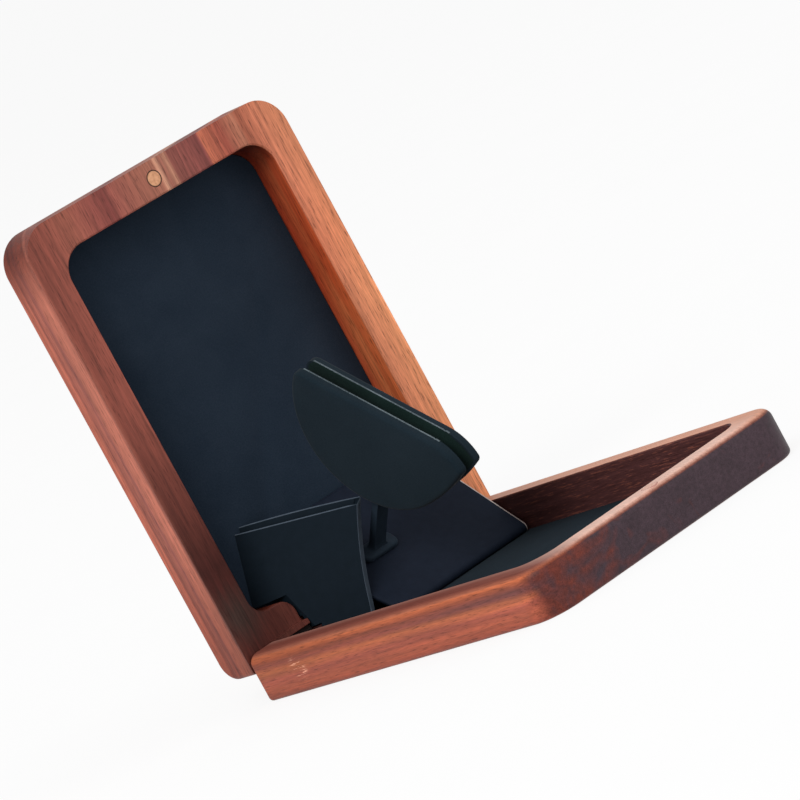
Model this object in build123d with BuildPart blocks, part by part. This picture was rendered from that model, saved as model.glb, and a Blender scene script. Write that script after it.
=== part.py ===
# Slim wooden ring box with a hinged lid and a ring pad that swings up and turns as the lid opens.
# Millimetres, +Z up, drawn open at a right angle. The origin is the middle of the base's underside,
# the hinge lies along X at the +Y end, and the lid stands up behind it.
import os
from math import cos, radians, sin, sqrt

from build123d import *

# both shells
WIDTH = 60.0
LENGTH = 83.0
SHELL = 8.6
FLOOR = 1.2
HINGE_WALL = 3.0
FREE_CORNER = 6.0
POCKET_CORNER = 5.0
POCKET_HINGE_CORNER = 1.0
ARRIS = 0.8
MOUTH_ARRIS = 0.25
BASE_RIM_SIDE = 5.3
BASE_RIM_END = 4.8
LID_RIM_SIDE = 5.9
LID_RIM_END = 6.2

# hinge
PIVOT_INSET = 1.7
STOP_EASING = 0.05
HEEL_RADIUS = 3.5
LUG_WIDTH = 7.7
LUG_HEIGHT = 4.7
LUG_CORNER = 3.0
NOTCH_GAP = 0.3
PASSAGE_DROP = 2.0
PIN_DIAMETER = 1.6
PIN_BITE = 3.8
PIN_SINK = 0.6
PIN_PLAY = 0.05
SEAT_PLAY = 0.01
PIN_END_GAP = 0.2
PIN_CHAMFER = 0.2

# magnets and their plugs
MAGNET_DIAMETER = 3.0
MAGNET_HEIGHT = 2.0
PLUG_HEIGHT = 1.0

# floor linings
CARD = 0.3
SUEDE = 0.4
LINING_GAP = 0.15

# leather band across the fold of the hinge, measured from the pivot along the bisector of the opening
LEATHER = 0.8
BAND_HEIGHT = 6.0
BAND_LUG_GAP = 0.4
BAND_WALL_GAP = 0.1
BAND_TAB = 5.0
SOFT_GAP = 0.3

# folded strap from the lid's lining to the foot of the pad: corners as (x, along bisector, across it)
STRAP = 1.6
STRAP_FOLD = 0.4
STRAP_FOLD_DEPTH = 1.2
STRAP_CORNER = 1.0
STRAP_GAP = 0.25
STRAP_REACH = 2.0
STRAP_AT_LID = (-14.6, 8.1, -20.0)
STRAP_AT_PAD = (-3.2, 19.2, -3.2)
STRAP_AT_BAND = (-10.1, 5.4, 7.7)

# ring pad, in its own plane: x along the slot from the turning axis, y up from the hinge's pivot
PAD_YAW = 6.5
PAD_AXIS_OFFSET = 1.2
PAD_CENTRE_X = -1.3
PAD_CENTRE_Y = 35.3
PAD_RADIUS = 16.4
PAD_CHORD_Y = 38.4
PAD_TOE_X = 17.6
PAD_TOE_Y = 35.4
PAD_SHOULDER_X = 10.7
PAD_TURN_ANGLE = -40.0
PAD_LEFT_CORNER = 1.6
PAD_TOE_CORNER = 0.9
PAD_ARRIS = 0.5
SLOT = 2.4
SLOT_DEPTH = 7.4
SLOT_LINING = 0.35
PAD_BOARD = 1.0
PAD_COVER = 0.4

# stem that carries the pad, and the rivet that it turns on
STEM_DIAMETER = 3.0
STEM_FOOT_LENGTH = 8.0
STEM_FOOT_WIDTH = 5.0
STEM_FOOT_CORNER = 1.5
RIVET_DIAMETER = 1.2
RIVET_IN_STEM = 6.0
RIVET_IN_PAD = 4.0
RIVET_PLAY = 0.05

# worked out from the sizes above
POCKET_DEPTH = SHELL - FLOOR
VISIBLE_DEPTH = POCKET_DEPTH - CARD - SUEDE
HINGE_END = LENGTH / 2
PIVOT_Y = HINGE_END - PIVOT_INSET
PIVOT_Z = SHELL - PIVOT_INSET
LID_RIM_Y = PIVOT_Y + PIVOT_INSET
LID_BOTTOM_Z = PIVOT_Z - PIVOT_INSET
LID_CENTRE_Z = LID_BOTTOM_Z + LENGTH / 2
BASE_HALF = WIDTH / 2 - BASE_RIM_SIDE
LID_HALF = WIDTH / 2 - LID_RIM_SIDE
LUG_INNER = LID_HALF - LUG_WIDTH
BAND_LEFT = BAND_LUG_GAP - LUG_INNER
BAND_RIGHT = min(LID_HALF, BASE_HALF) - BAND_WALL_GAP
KNUCKLE_CORNER = sqrt(2) * PIVOT_INSET
NOTCH_RADIUS = KNUCKLE_CORNER + NOTCH_GAP
NOTCH_INNER = LUG_INNER - NOTCH_GAP
PIN_RADIUS = PIN_DIAMETER / 2
PIN_START = LUG_INNER + PIN_SINK
PIN_END = BASE_HALF + PIN_BITE
MAGNET_RADIUS = MAGNET_DIAMETER / 2
MAGNET_BORE_DEPTH = PLUG_HEIGHT + MAGNET_HEIGHT
CORE = SLOT + 2 * SLOT_LINING
PAD_HALF = CORE / 2 + PAD_BOARD + PAD_COVER
SLOT_FLOOR_Y = PAD_CHORD_Y - SLOT_DEPTH
PAD_FOOT_Y = PAD_CENTRE_Y - sqrt(PAD_RADIUS**2 - PAD_CENTRE_X**2)
STEM_BASE_Y = BAND_HEIGHT + LEATHER / 2 + SOFT_GAP
STEM_TOP_Y = PAD_FOOT_Y - SOFT_GAP
CUT_REACH = 3 * LENGTH

# working planes: local y runs towards the hinge in both shells, local z goes down into the wood
BASE_RIM = Plane(origin=(0, 0, SHELL), x_dir=(-1, 0, 0), z_dir=(0, 0, -1))
LID_RIM = Plane(origin=(0, LID_RIM_Y, LID_CENTRE_Z), x_dir=(1, 0, 0), z_dir=(0, 1, 0))
PIVOT = Vector(0, PIVOT_Y, PIVOT_Z)
ALONG = Vector(0, -sqrt(0.5), sqrt(0.5))
ACROSS = Vector(0, -sqrt(0.5), -sqrt(0.5))
RIGHT = Vector(1, 0, 0)
AXIS_FOOT = PIVOT - ACROSS * PAD_AXIS_OFFSET
CHORD_DIRECTION = ACROSS * cos(radians(PAD_YAW)) + RIGHT * sin(radians(PAD_YAW))
PAD_NORMAL = RIGHT * cos(radians(PAD_YAW)) - ACROSS * sin(radians(PAD_YAW))
PAD_PLANE = Plane(origin=AXIS_FOOT, x_dir=CHORD_DIRECTION, z_dir=-PAD_NORMAL)
STEM_PLANE = Plane(origin=AXIS_FOOT, x_dir=RIGHT, z_dir=ALONG)
# seen from the side: local x runs towards +Y, local y up
SIDE_PLANE = Plane(origin=PIVOT, x_dir=(0, 1, 0), z_dir=(1, 0, 0))


def shell_outline(plane):
    # the block's plan: round corners at the free end, square ones at the hinge
    with BuildSketch(plane) as outline:
        Rectangle(WIDTH, LENGTH)
        fillet(outline.vertices().group_by(Axis.Y)[0], radius=FREE_CORNER)
    return outline.sketch


def pocket_outline(plane, rim_side, rim_end, inset=0.0):
    # the base's pocket, or the sheets that lie in it when an inset is given
    free_y = -LENGTH / 2 + rim_end + inset
    hinge_y = LENGTH / 2 - HINGE_WALL - inset
    with BuildSketch(plane) as outline:
        with Locations((0, (free_y + hinge_y) / 2)):
            Rectangle(WIDTH - 2 * rim_side - 2 * inset, hinge_y - free_y)
        fillet(outline.vertices().group_by(Axis.Y)[0], radius=POCKET_CORNER - inset)
        fillet(outline.vertices().group_by(Axis.Y)[-1], radius=POCKET_HINGE_CORNER)
    return outline.sketch


def lugged_outline(plane, inset=0.0):
    # the lid's pocket, which leaves a lug with an S-shaped edge in each hinge corner
    half = LID_HALF - inset
    free_y = -LENGTH / 2 + LID_RIM_END + inset
    hinge_y = LENGTH / 2 - HINGE_WALL - inset
    lug_y = LENGTH / 2 - 2 * PIVOT_INSET - LUG_HEIGHT - inset
    lug_x = LUG_INNER - inset
    with BuildSketch(plane) as outline:
        with BuildLine():
            Polyline(
                (-half, free_y),
                (half, free_y),
                (half, lug_y),
                (lug_x, lug_y),
                (lug_x, hinge_y),
                (-lug_x, hinge_y),
                (-lug_x, lug_y),
                (-half, lug_y),
                close=True,
            )
        make_face()
        fillet(outline.vertices().group_by(Axis.Y)[0], radius=POCKET_CORNER - inset)
        at_lugs = outline.vertices().group_by(Axis.Y)[-2].sort_by(Axis.X)
        fillet([at_lugs[0], at_lugs[-1]], radius=LUG_CORNER - inset)
        at_lugs = outline.vertices().group_by(Axis.Y)[-2].sort_by(Axis.X)
        fillet(at_lugs[1:-1], radius=LUG_CORNER + inset)
        fillet(outline.vertices().group_by(Axis.Y)[-1], radius=POCKET_HINGE_CORNER)
    return outline.sketch


def pivot_circle(x, radius):
    # a circle round the hinge's pivot, in the plane at this x
    with BuildSketch(Plane(origin=PIVOT + RIGHT * x, x_dir=(0, 1, 0), z_dir=(1, 0, 0))) as circle:
        Circle(radius)
    return circle.sketch


def pad_outline(inset=0.0, below=None, above=None, plane=PAD_PLANE):
    # the pad's D: a round belly, a slanting toe and a straight top edge along the slot
    turn = radians(PAD_TURN_ANGLE)
    left_x = PAD_CENTRE_X - sqrt(PAD_RADIUS**2 - (PAD_CHORD_Y - PAD_CENTRE_Y) ** 2)
    turn_point = (PAD_CENTRE_X + PAD_RADIUS * cos(turn), PAD_CENTRE_Y + PAD_RADIUS * sin(turn))
    belly = (PAD_CENTRE_X - PAD_RADIUS * sin(-turn), PAD_CENTRE_Y - PAD_RADIUS * cos(turn))
    with BuildSketch(plane) as outline:
        with BuildLine():
            round_edge = ThreePointArc((left_x, PAD_CHORD_Y), belly, turn_point)
            TangentArc(turn_point, (PAD_TOE_X, PAD_TOE_Y), tangent=round_edge % 1)
            shoulder = TangentArc((PAD_SHOULDER_X, PAD_CHORD_Y), (PAD_TOE_X, PAD_TOE_Y), tangent=(1, 0))
            Line(shoulder @ 0, (left_x, PAD_CHORD_Y))
        make_face()
        fillet(outline.vertices().sort_by(Axis.X)[0], radius=PAD_LEFT_CORNER)
        fillet(outline.vertices().sort_by(Axis.X)[-1], radius=PAD_TOE_CORNER)
        if inset:
            offset(amount=-inset)
        if below is not None:
            with Locations((0, below)):
                Rectangle(CUT_REACH, CUT_REACH, align=(Align.CENTER, Align.MIN), mode=Mode.SUBTRACT)
        if above is not None:
            with Locations((0, above)):
                Rectangle(CUT_REACH, CUT_REACH, align=(Align.CENTER, Align.MAX), mode=Mode.SUBTRACT)
    return outline.sketch


def magnet_circle(plane, rim_end, play=0.0, depth=0.0):
    # round a magnet, in the middle of the free end's rim
    with BuildSketch(plane.offset(depth)) as circle:
        with Locations((0, -LENGTH / 2 + rim_end / 2)):
            Circle(MAGNET_RADIUS + play)
    return circle.sketch


# base shell: hollowed block whose hinge wall is notched for the lid's knuckles
with BuildPart() as base_shell:
    extrude(shell_outline(BASE_RIM), amount=SHELL)
    fillet(base_shell.edges().filter_by(Axis.Z).group_by(Axis.Y)[-1], radius=ARRIS)
    fillet(base_shell.faces().sort_by(Axis.Z)[0].edges(), radius=ARRIS)
    extrude(pocket_outline(BASE_RIM, BASE_RIM_SIDE, BASE_RIM_END), amount=POCKET_DEPTH, mode=Mode.SUBTRACT)
    chamfer(base_shell.faces().sort_by(Axis.Z)[-1].inner_wires()[0].edges(), length=MOUTH_ARRIS)
    top_edges = base_shell.faces().sort_by(Axis.Z)[-1].outer_wire().edges()
    fillet(top_edges.filter_by(Axis.X).sort_by(Axis.Y)[-1], radius=PIVOT_INSET + STOP_EASING)
    with BuildSketch(BASE_RIM):
        with Locations((0, LENGTH / 2)):
            Rectangle(2 * NOTCH_INNER, 2 * HINGE_WALL)
    extrude(amount=PASSAGE_DROP, mode=Mode.SUBTRACT)
    for side in (-1, 1):
        notch_length = BASE_HALF - NOTCH_INNER
        notch = pivot_circle(side * NOTCH_INNER, NOTCH_RADIUS)
        extrude(notch, amount=side * notch_length, mode=Mode.SUBTRACT)
        pin_hole = pivot_circle(side * BASE_HALF, PIN_RADIUS + SEAT_PLAY)
        extrude(pin_hole, amount=side * (PIN_BITE + PIN_END_GAP), mode=Mode.SUBTRACT)
    extrude(magnet_circle(BASE_RIM, BASE_RIM_END, SEAT_PLAY), amount=MAGNET_BORE_DEPTH, mode=Mode.SUBTRACT)
base_shell.part.label = "base_shell"

# lid shell: the same block with its lugs, each carrying a knuckle that the hinge pin runs through
with BuildPart() as lid_shell:
    extrude(shell_outline(LID_RIM), amount=SHELL)
    back_edges = lid_shell.faces().sort_by(Axis.Y)[-1].edges()
    fillet(back_edges.sort_by(Axis.Z)[0], radius=HEEL_RADIUS)
    back_edges = lid_shell.faces().sort_by(Axis.Y)[-1].edges()
    fillet(back_edges.filter_by(Axis.Z), radius=ARRIS)
    extrude(lugged_outline(LID_RIM), amount=POCKET_DEPTH, mode=Mode.SUBTRACT)
    chamfer(lid_shell.faces().sort_by(Axis.Y)[0].inner_wires()[0].edges(), length=MOUTH_ARRIS)
    with BuildSketch(LID_RIM):
        with Locations((0, LENGTH / 2)):
            Rectangle(2 * LUG_INNER, 2 * HINGE_WALL)
    extrude(amount=PASSAGE_DROP, mode=Mode.SUBTRACT)
    for side in (-1, 1):
        extrude(pivot_circle(side * LUG_INNER, PIVOT_INSET), amount=side * LUG_WIDTH)
        with BuildSketch(SIDE_PLANE.offset(side * LUG_INNER)):
            Rectangle(PIVOT_INSET, 2 * PIVOT_INSET, align=(Align.MIN, Align.CENTER))
        extrude(amount=side * LUG_WIDTH)
        pin_hole = pivot_circle(side * LUG_INNER, PIN_RADIUS + PIN_PLAY)
        extrude(pin_hole, amount=side * LUG_WIDTH, mode=Mode.SUBTRACT)
    extrude(magnet_circle(LID_RIM, LID_RIM_END, SEAT_PLAY), amount=MAGNET_BORE_DEPTH, mode=Mode.SUBTRACT)
lid_shell.part.label = "lid_shell"

# hinge pins, pushed in from inside through the knuckles into the base's side walls
hinge_pins = {}
for pin_name, side in (("hinge_pin_left", -1), ("hinge_pin_right", 1)):
    with BuildPart() as hinge_pin:
        extrude(pivot_circle(side * PIN_START, PIN_RADIUS), amount=side * (PIN_END - PIN_START))
        chamfer(hinge_pin.faces().sort_by(Axis.X)[0].edges(), length=PIN_CHAMFER)
        chamfer(hinge_pin.faces().sort_by(Axis.X)[-1].edges(), length=PIN_CHAMFER)
    hinge_pin.part.label = pin_name
    hinge_pins[pin_name] = hinge_pin.part

# linings: card glued to the wood, suede over it
with BuildPart() as base_lining_card:
    card_plane = BASE_RIM.offset(POCKET_DEPTH - CARD)
    extrude(pocket_outline(card_plane, BASE_RIM_SIDE, BASE_RIM_END, inset=LINING_GAP), amount=CARD)
base_lining_card.part.label = "base_lining_card"

with BuildPart() as base_lining:
    suede_plane = BASE_RIM.offset(VISIBLE_DEPTH)
    extrude(pocket_outline(suede_plane, BASE_RIM_SIDE, BASE_RIM_END, inset=LINING_GAP), amount=SUEDE)
base_lining.part.label = "base_lining"

with BuildPart() as lid_lining_card:
    extrude(lugged_outline(LID_RIM.offset(POCKET_DEPTH - CARD), inset=LINING_GAP), amount=CARD)
lid_lining_card.part.label = "lid_lining_card"

with BuildPart() as lid_lining:
    extrude(lugged_outline(LID_RIM.offset(VISIBLE_DEPTH), inset=LINING_GAP), amount=SUEDE)
lid_lining.part.label = "lid_lining"

# magnets at the free ends, each hidden under a wooden plug that is flush with its rim
magnet_parts = {}
for shell_name, plane, rim_end in (("base", BASE_RIM, BASE_RIM_END), ("lid", LID_RIM, LID_RIM_END)):
    with BuildPart() as magnet:
        extrude(magnet_circle(plane, rim_end, depth=PLUG_HEIGHT), amount=MAGNET_HEIGHT)
    magnet.part.label = shell_name + "_magnet"
    magnet_parts[magnet.part.label] = magnet.part
    with BuildPart() as plug:
        extrude(magnet_circle(plane, rim_end), amount=PLUG_HEIGHT)
    plug.part.label = shell_name + "_magnet_plug"
    magnet_parts[plug.part.label] = plug.part


def from_pivot(point):
    # turns (x, along the bisector, across it) into a place in the frame
    return PIVOT + RIGHT * point[0] + ALONG * point[1] + ACROSS * point[2]


# the strap stands in this plane, and the band ends against the back of it
lid_corner = from_pivot(STRAP_AT_LID)
pad_corner = from_pivot(STRAP_AT_PAD)
foot_corner = from_pivot(STRAP_AT_BAND)
top_edge = (pad_corner - lid_corner).normalized()
side_edge = (foot_corner - pad_corner).normalized()
strap_normal = top_edge.cross(side_edge).normalized()
STRAP_PLANE = Plane(origin=pad_corner, x_dir=top_edge, z_dir=strap_normal)
STRAP_BACK = STRAP_PLANE.offset(STRAP / 2 + STRAP_GAP)
BASE_LINING_FACE = Plane(origin=(0, 0, SHELL - VISIBLE_DEPTH + STRAP_GAP), z_dir=(0, 0, 1))
LID_LINING_FACE = Plane(origin=(0, LID_RIM_Y + VISIBLE_DEPTH, 0), z_dir=(0, -1, 0))
PAD_CLEAR_FACE = Plane(origin=PIVOT + ALONG * STEM_TOP_Y, z_dir=-ALONG)

# hinge band: leather across the fold, its two tabs glued to the linings behind it
LINING_Y = LID_RIM_Y + VISIBLE_DEPTH - PIVOT_Y
LINING_Z = SHELL - VISIBLE_DEPTH - PIVOT_Z
FRONT = (BAND_HEIGHT + LEATHER / 2) * sqrt(2)
BACK = (BAND_HEIGHT - LEATHER / 2) * sqrt(2)
with BuildPart() as hinge_band:
    with BuildSketch(SIDE_PLANE.offset(BAND_LEFT)):
        with BuildLine():
            Polyline(
                (LINING_Z - FRONT, LINING_Z),
                (LINING_Z - BACK + BAND_TAB, LINING_Z),
                (LINING_Z - BACK + BAND_TAB, LINING_Z + LEATHER),
                (LINING_Z - BACK + LEATHER, LINING_Z + LEATHER),
                (LINING_Y - LEATHER, LINING_Y - LEATHER + BACK),
                (LINING_Y - LEATHER, LINING_Y + BACK - BAND_TAB),
                (LINING_Y, LINING_Y + BACK - BAND_TAB),
                (LINING_Y, LINING_Y + FRONT),
                close=True,
            )
        make_face()
    extrude(amount=BAND_RIGHT - BAND_LEFT)
    split(bisect_by=STRAP_BACK)
hinge_band.part.label = "hinge_band"

# lid strap: a leather strip folded double, from the lid's lining past the lug down into the base's tray
with BuildPart() as lid_strap:
    with BuildSketch(STRAP_PLANE):
        with BuildLine():
            local_foot = STRAP_REACH * STRAP_PLANE.to_local_coords(foot_corner)
            local_lid = STRAP_PLANE.to_local_coords(lid_corner)
            far_x = STRAP_REACH * local_lid.X
            Polyline((0, 0), (local_foot.X, local_foot.Y), (far_x, local_foot.Y), (far_x, 0), close=True)
        make_face()
    extrude(amount=STRAP / 2, both=True)
    split(bisect_by=BASE_LINING_FACE)
    split(bisect_by=LID_LINING_FACE)
    split(bisect_by=PAD_CLEAR_FACE)
    # clear of the base's hinge wall, of the lid's, and of the left lug with its knuckle
    at_base_wall = (0, HINGE_END - HINGE_WALL - STRAP_GAP, SHELL - PASSAGE_DROP + STRAP_GAP)
    at_lid_wall = (0, LID_RIM_Y - STRAP_GAP, LID_BOTTOM_Z + HINGE_WALL + POCKET_HINGE_CORNER)
    with Locations(at_base_wall, at_lid_wall):
        Box(WIDTH, LENGTH, LENGTH, align=(Align.CENTER, Align.MIN, Align.MAX), mode=Mode.SUBTRACT)
    lug_top = LID_BOTTOM_Z + 2 * PIVOT_INSET + LUG_HEIGHT
    with Locations((STRAP_GAP - LUG_INNER, at_base_wall[1], lug_top + STRAP_GAP)):
        Box(WIDTH, LENGTH, LENGTH, align=(Align.MAX, Align.MIN, Align.MAX), mode=Mode.SUBTRACT)
    with BuildSketch(STRAP_PLANE):
        with Locations((local_lid.X / 2 - STRAP_CORNER, 0)):
            Rectangle(abs(local_lid.X), 2 * STRAP_FOLD_DEPTH)
    extrude(amount=STRAP_FOLD / 2, both=True, mode=Mode.SUBTRACT)
lid_strap.part.label = "lid_strap"

# pad stem: leather-covered post with a foot on the band
with BuildPart() as pad_stem:
    with BuildSketch(STEM_PLANE.offset(STEM_BASE_Y)):
        RectangleRounded(STEM_FOOT_LENGTH, STEM_FOOT_WIDTH, STEM_FOOT_CORNER)
    extrude(amount=LEATHER)
    with BuildSketch(STEM_PLANE.offset(STEM_BASE_Y)):
        Circle(STEM_DIAMETER / 2)
    extrude(amount=STEM_TOP_Y - STEM_BASE_Y)
    with BuildSketch(STEM_PLANE.offset(STEM_TOP_Y)):
        Circle(RIVET_DIAMETER / 2 + SEAT_PLAY)
    extrude(amount=-RIVET_IN_STEM, mode=Mode.SUBTRACT)
pad_stem.part.label = "pad_stem"

# swivel rivet: held in the stem, free to turn in the pad
with BuildPart() as swivel_rivet:
    with BuildSketch(STEM_PLANE.offset(STEM_TOP_Y - RIVET_IN_STEM)):
        Circle(RIVET_DIAMETER / 2)
    extrude(amount=RIVET_IN_STEM + SOFT_GAP + RIVET_IN_PAD)
swivel_rivet.part.label = "swivel_rivet"

# ring pad: two boards and a spacer, wrapped in suede, with a lined slot along the top
with BuildPart() as pad_core:
    extrude(pad_outline(inset=PAD_COVER, below=SLOT_FLOOR_Y - SLOT_LINING), amount=CORE / 2, both=True)
    with BuildSketch(STEM_PLANE):
        Circle(RIVET_DIAMETER / 2 + RIVET_PLAY)
    extrude(amount=PAD_FOOT_Y + RIVET_IN_PAD + SOFT_GAP, mode=Mode.SUBTRACT)
pad_core.part.label = "pad_core"

with BuildPart() as pad_edge_strip:
    extrude(pad_outline(below=SLOT_FLOOR_Y - SLOT_LINING), amount=SLOT / 2, both=True)
    extrude(pad_outline(inset=PAD_COVER), amount=CORE, both=True, mode=Mode.SUBTRACT)
    with BuildSketch(STEM_PLANE):
        Circle(RIVET_DIAMETER / 2 + RIVET_PLAY)
    extrude(amount=PAD_CENTRE_Y, mode=Mode.SUBTRACT)
pad_edge_strip.part.label = "pad_edge_strip"

with BuildPart() as slot_lining:
    extrude(pad_outline(inset=PAD_COVER, above=SLOT_FLOOR_Y - SLOT_LINING), amount=CORE / 2, both=True)
    with BuildSketch(PAD_PLANE):
        with Locations((0, SLOT_FLOOR_Y)):
            Rectangle(CUT_REACH, CUT_REACH, align=(Align.CENTER, Align.MIN))
    extrude(amount=SLOT / 2, both=True, mode=Mode.SUBTRACT)
slot_lining.part.label = "slot_lining"

pad_sides = {}
for side_name, side in (("front", 1), ("back", -1)):
    with BuildPart() as pad_board:
        board_outline = pad_outline(inset=PAD_COVER, plane=PAD_PLANE.offset(side * CORE / 2))
        extrude(board_outline, amount=side * PAD_BOARD)
    pad_board.part.label = "pad_board_" + side_name
    pad_sides[pad_board.part.label] = pad_board.part
    with BuildPart() as pad_cover:
        extrude(pad_outline(plane=PAD_PLANE.offset(side * SLOT / 2)), amount=side * (PAD_HALF - SLOT / 2))
        flat_faces = pad_cover.faces().filter_by(Axis(AXIS_FOOT, PAD_NORMAL)).sort_by(Axis.X)
        outer_face = flat_faces[0] if side > 0 else flat_faces[-1]
        chamfer(outer_face.edges(), length=PAD_ARRIS)
        board_seat = pad_outline(inset=PAD_COVER, plane=PAD_PLANE.offset(side * SLOT / 2))
        extrude(board_seat, amount=side * (PAD_HALF - PAD_COVER - SLOT / 2), mode=Mode.SUBTRACT)
    pad_cover.part.label = "pad_cover_" + side_name
    pad_sides[pad_cover.part.label] = pad_cover.part

finished = {
    "base_shell": base_shell.part,
    "lid_shell": lid_shell.part,
    "base_lining_card": base_lining_card.part,
    "base_lining": base_lining.part,
    "lid_lining_card": lid_lining_card.part,
    "lid_lining": lid_lining.part,
    "hinge_band": hinge_band.part,
    "lid_strap": lid_strap.part,
    "pad_stem": pad_stem.part,
    "swivel_rivet": swivel_rivet.part,
    "pad_core": pad_core.part,
    "pad_edge_strip": pad_edge_strip.part,
    "slot_lining": slot_lining.part,
}
finished.update(hinge_pins)
finished.update(magnet_parts)
finished.update(pad_sides)

os.makedirs("parts", exist_ok=True)
for name, solid in finished.items():
    export_step(solid, "parts/" + name + ".step")
    print(name, round(solid.volume, 2))
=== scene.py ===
import math

import bmesh
import bpy
from mathutils import Matrix, Vector


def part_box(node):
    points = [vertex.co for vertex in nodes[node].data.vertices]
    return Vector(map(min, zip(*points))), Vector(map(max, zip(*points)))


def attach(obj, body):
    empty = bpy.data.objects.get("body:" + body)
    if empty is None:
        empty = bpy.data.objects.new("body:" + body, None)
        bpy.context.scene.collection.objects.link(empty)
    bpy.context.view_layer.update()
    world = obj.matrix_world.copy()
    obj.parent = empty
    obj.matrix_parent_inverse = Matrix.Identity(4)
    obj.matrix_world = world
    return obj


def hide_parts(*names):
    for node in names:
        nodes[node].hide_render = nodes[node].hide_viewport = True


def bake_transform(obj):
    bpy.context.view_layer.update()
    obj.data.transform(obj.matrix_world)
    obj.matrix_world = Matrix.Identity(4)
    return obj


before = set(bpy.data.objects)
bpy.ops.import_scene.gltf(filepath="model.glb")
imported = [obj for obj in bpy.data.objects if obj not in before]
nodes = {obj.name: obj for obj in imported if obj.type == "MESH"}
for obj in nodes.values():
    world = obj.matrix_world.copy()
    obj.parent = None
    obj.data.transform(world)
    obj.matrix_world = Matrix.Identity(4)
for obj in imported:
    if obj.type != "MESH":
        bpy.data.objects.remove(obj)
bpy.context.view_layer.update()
mm = 0.001


def linearColour(code):
    # sRGB hex to the linear values that the shaders take
    channels = [int(code[i:i + 2], 16) / 255 for i in (0, 2, 4)]
    return tuple(c / 12.92 if c <= 0.04045 else ((c + 0.055) / 1.055) ** 2.4 for c in channels) + (1.0,)


def addNode(owner, kind, settings=None, links=None):
    # settings go to the node's own options or, failing that, to its sockets, where a text is a hex colour;
    # a link is socket: node, or socket: (node, output); a Mix has its colours at 6 and 7, its result at 2
    node = owner.node_tree.nodes.new("ShaderNode" + kind)
    for key, value in (settings or {}).items():
        if isinstance(key, str) and hasattr(node, key):
            setattr(node, key, value)
        else:
            node.inputs[key].default_value = linearColour(value) if isinstance(value, str) else value
    for key, source in (links or {}).items():
        source, output = source if isinstance(source, tuple) else (source, 0)
        owner.node_tree.links.new(source.outputs[output], node.inputs[key])
    return node


def setRamp(rampNode, stops):
    # stops are (position, hex colour)
    elements = rampNode.color_ramp.elements
    while len(elements) < len(stops):
        elements.new(1.0)
    for element, (position, code) in zip(elements, stops):
        element.position = position
        element.color = linearColour(code)


def newMaterial(name):
    material = bpy.data.materials.new(name)
    material.use_nodes = True
    material.node_tree.nodes.clear()
    return material


def addObject(name, data):
    thing = bpy.data.objects.new(name, data)
    bpy.context.collection.objects.link(thing)
    return thing


def finishPiece(bm, name, materials, sharpFrom=40):
    # the bmesh becomes an object at the origin, with its place in its mesh
    mesh = bpy.data.meshes.new(name)
    bmesh.ops.recalc_face_normals(bm, faces=bm.faces)
    bm.to_mesh(mesh)
    bm.free()
    for material in materials:
        mesh.materials.append(material)
    mesh.shade_smooth()
    mesh.set_sharp_from_angle(angle=math.radians(sharpFrom))
    return addObject(name, mesh)


# camera

photoView = {
    "place": (-0.51791, -0.71822, 0.1333),
    "right": (0.6674727, -0.5775536, -0.4700128),
    "up": (0.430181, -0.2161302, 0.8764885),
    "ahead": (0.60780302, 0.78722271, -0.10419158),
    "lens": 245.52,
    "shift": (-0.21605, -0.15548),
    "sensor": 36,
    "clip": (0.01, 50),
}


def placeCamera():
    cameraData = bpy.data.cameras.new("camera")
    cameraData.lens = photoView["lens"]
    cameraData.sensor_width = photoView["sensor"]
    cameraData.shift_x, cameraData.shift_y = photoView["shift"]
    cameraData.clip_start, cameraData.clip_end = photoView["clip"]
    camera = addObject("camera", cameraData)
    axes = Matrix((photoView["right"], photoView["up"], -Vector(photoView["ahead"]))).transposed()
    camera.matrix_world = Matrix.Translation(photoView["place"]) @ axes.to_4x4()
    bpy.context.scene.camera = camera


placeCamera()
print("camera placed")


# floor, world and lamps

studio = {
    "floorColours": ("F7F7F7", "FFFFFF"),
    "floorSize": 16.0,
    "floorPlace": (0, 4, -0.00002),
    "floorFibres": 400.0,
    "whiteInView": 0.86,
    "worldLight": 0.62,
    "lampsAimAt": (0, 0.02, 0.03),
    "lamps": {              # place, size and power
        "keyLamp": ((-1.5, -0.9, 1.5), 1.1, 22.0),
        "fillLamp": ((0.9, -1.7, 0.9), 1.6, 7.0),
    },
}


def makeStudioPaper():
    # white background paper: matt, and lifted to plain white where it is only seen, so a faint shadow stays
    material = newMaterial("studioPaper")
    lightPath = addNode(material, "LightPath")
    seen = addNode(material, "Math", {"operation": "ADD", "use_clamp": True},
                   {0: (lightPath, "Is Camera Ray"), 1: (lightPath, "Is Glossy Ray")})
    share = addNode(material, "Math", {"operation": "MULTIPLY", 1: studio["whiteInView"]}, {0: seen})
    fibre = addNode(material, "TexNoise", {"Scale": studio["floorFibres"], "Detail": 3.0})
    dull, bright = studio["floorColours"]
    tone = addNode(material, "Mix", {"data_type": "RGBA", 6: dull, 7: bright}, {0: fibre})
    matt = addNode(material, "BsdfDiffuse", links={"Color": (tone, 2)})
    white = addNode(material, "Emission", {"Color": (1, 1, 1, 1), "Strength": 1.0})
    both = addNode(material, "MixShader", links={0: share, 1: matt, 2: white})
    addNode(material, "OutputMaterial", links={"Surface": both})
    return material


def addLamp(name, place, size, power):
    lampData = bpy.data.lights.new(name, "AREA")
    lampData.shape = "SQUARE"
    lampData.size = size
    lampData.energy = power
    lamp = addObject(name, lampData)
    aim = Vector(studio["lampsAimAt"]) - Vector(place)
    lamp.matrix_world = Matrix.Translation(place) @ aim.to_track_quat("-Z", "Y").to_matrix().to_4x4()


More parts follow.
